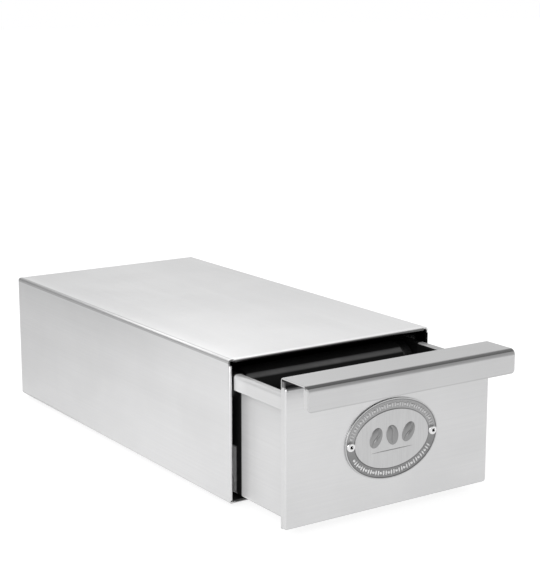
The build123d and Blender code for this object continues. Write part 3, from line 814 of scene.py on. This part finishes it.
def make_badge_beading():
    """Bead-and-reel ornament on the badge's band: a round bead, then two narrow reels."""
    relief = Relief(badge_low.y + BADGE_STEP)
    inset = BADGE_RIM + BADGE_BAND / 2
    for start, end in BEAD_ARCS:
        places = oval_places(badge_half.x - inset, badge_half.z - inset, start, end, BEAD_SPACING)
        for i, (across, up, turn) in enumerate(places):
            round_bead = i % 3 == 0
            half_length = BEAD_RADIUS if round_bead else REEL_HALF_LENGTH
            half_width = BEAD_RADIUS if round_bead else REEL_HALF_WIDTH
            x = badge_centre.x + across
            z = badge_centre.z + up
            relief.dome(x, z, half_length, half_width, turn, BEAD_RISE)
    relief.finish("badge_beading", "beading")


def make_badge_beans():
    """Three coffee beans in low relief on the badge's middle, over a thin line."""
    relief = Relief(badge_low.y)
    up = badge_centre.z + BEAN_LIFT
    for place, turn in zip((-1, 0, 1), BEAN_TURNS):
        relief.dome(
            badge_centre.x + place * BEAN_SPACING,
            up,
            BEAN_HALF_LENGTH,
            BEAN_HALF_WIDTH,
            math.radians(turn),
            BEAN_RISE,
            rings=16,
            steps=56,
            crease=BEAN_CREASE,
        )
    relief.dome(
        badge_centre.x,
        up - LINE_DROP,
        LINE_HALF_LENGTH,
        LINE_HALF_WIDTH,
        math.pi / 2,
        LINE_RISE,
        steps=40,
    )
    relief.finish("badge_beans", "beans")


make_badge_beading()
make_badge_beans()


def make_floor():
    """A wide white floor that fades into the backdrop. It is brighter to the camera than to the steel."""
    size = FLOOR_HALF_SIZE
    mesh = bpy.data.meshes.new("floor")
    corners = [(-size, -size, 0), (size, -size, 0), (size, size, 0), (-size, size, 0)]
    mesh.from_pydata(corners, [], [(0, 1, 2, 3)])
    floor = bpy.data.objects.new("floor", mesh)
    bpy.context.scene.collection.objects.link(floor)
    material, tree, shader, place = new_material("floor_white", Roughness=0.9, Specular_IOR_Level=0.1)
    sides = split(tree, place)
    behind = remap(tree, sides[1], 0.0, FLOOR_FALL_REACH, 1.0, 1.0 - FLOOR_FALL_BACK, True)
    right = remap(tree, sides[0], 0.0, FLOOR_FALL_REACH, 1.0, 1.0 - FLOOR_FALL_RIGHT, True)
    seen = put(tree, "ShaderNodeLightPath").outputs["Is Camera Ray"]
    glow_tone = remap(tree, seen, 0.0, 1.0, math_node(tree, "MULTIPLY", behind, right), FLOOR_SEEN)
    tree.links.new(glow_tone, shader.inputs["Emission Color"])
    shader.inputs["Base Color"].default_value = grey(FLOOR_LIT)
    shader.inputs["Emission Strength"].default_value = FLOOR_GLOW
    mesh.materials.append(material)


def soft_patch(tree, heading, direction, inner, outer, strength):
    """A soft round patch of light in the world, from its inner to its outer angle in degrees."""
    facing = vector_node(tree, "DOT_PRODUCT", heading, Vector(direction).normalized(), "Value")
    edge = math.cos(math.radians(outer))
    core = math.cos(math.radians(inner))
    return remap(tree, facing, edge, core, 0.0, strength, True)


def make_world():
    """A soft studio: white to the camera, and in reflections pale near the floor and darker above."""
    world = bpy.data.worlds.new("studio")
    world.use_nodes = True
    tree = world.node_tree
    tree.nodes.clear()
    heading = put(tree, "ShaderNodeTexCoord").outputs["Generated"]
    ramp = put(tree, "ShaderNodeValToRGB", {0: split(tree, heading)[2]})
    elements = ramp.color_ramp.elements
    for element, (position, tone) in zip(elements, (STUDIO_TONES[0], STUDIO_TONES[-1])):
        element.position = position
        element.color = grey(tone)
    for position, tone in STUDIO_TONES[1:-1]:
        elements.new(position).color = grey(tone)
    total = ramp.outputs[0]
    for patch in STUDIO_PATCHES:
        total = math_node(tree, "ADD", total, soft_patch(tree, heading, *patch))
    seen = put(tree, "ShaderNodeLightPath").outputs["Is Camera Ray"]
    mirrored = put(tree, "ShaderNodeBackground", {"Color": total}).outputs[0]
    backdrop = put(tree, "ShaderNodeBackground", {"Color": grey(1.0)}).outputs[0]
    mixed = put(tree, "ShaderNodeMixShader", {0: seen, 1: mirrored, 2: backdrop}).outputs[0]
    put(tree, "ShaderNodeOutputWorld", {"Surface": mixed})
    bpy.context.scene.world = world


def make_softbox(name, place, target, width, depth, watts):
    """A rectangular area light that looks at its target and that the camera doesn't see."""
    data = bpy.data.lights.new(name, "AREA")
    data.shape = "RECTANGLE"
    data.size = width
    data.size_y = depth
    data.energy = watts
    light = bpy.data.objects.new(name, data)
    light.location = place
    light.rotation_mode = "QUATERNION"
    light.rotation_quaternion = (Vector(target) - Vector(place)).to_track_quat("-Z", "Y")
    light.visible_camera = False
    bpy.context.scene.collection.objects.link(light)


def make_camera():
    """The photograph's viewpoint."""
    data = bpy.data.cameras.new("camera")
    data.lens = LENS
    data.sensor_width = SENSOR
    data.clip_start = 10 * MM
    data.clip_end = 60
    camera = bpy.data.objects.new("camera", data)
    back = Vector(
        (
            math.sin(VIEW_TURN) * math.cos(VIEW_HEIGHT),
            -math.cos(VIEW_TURN) * math.cos(VIEW_HEIGHT),
            math.sin(VIEW_HEIGHT),
        )
    )
    camera.location = VIEW_TARGET + back * VIEW_DISTANCE
    camera.rotation_mode = "QUATERNION"
    camera.rotation_quaternion = (-back).to_track_quat("-Z", "Y")
    bpy.context.scene.collection.objects.link(camera)
    bpy.context.scene.camera = camera


make_floor()
make_world()
for softbox in SOFTBOXES:
    make_softbox(*softbox)
make_camera()
bpy.context.scene.view_settings.view_transform = "Standard"
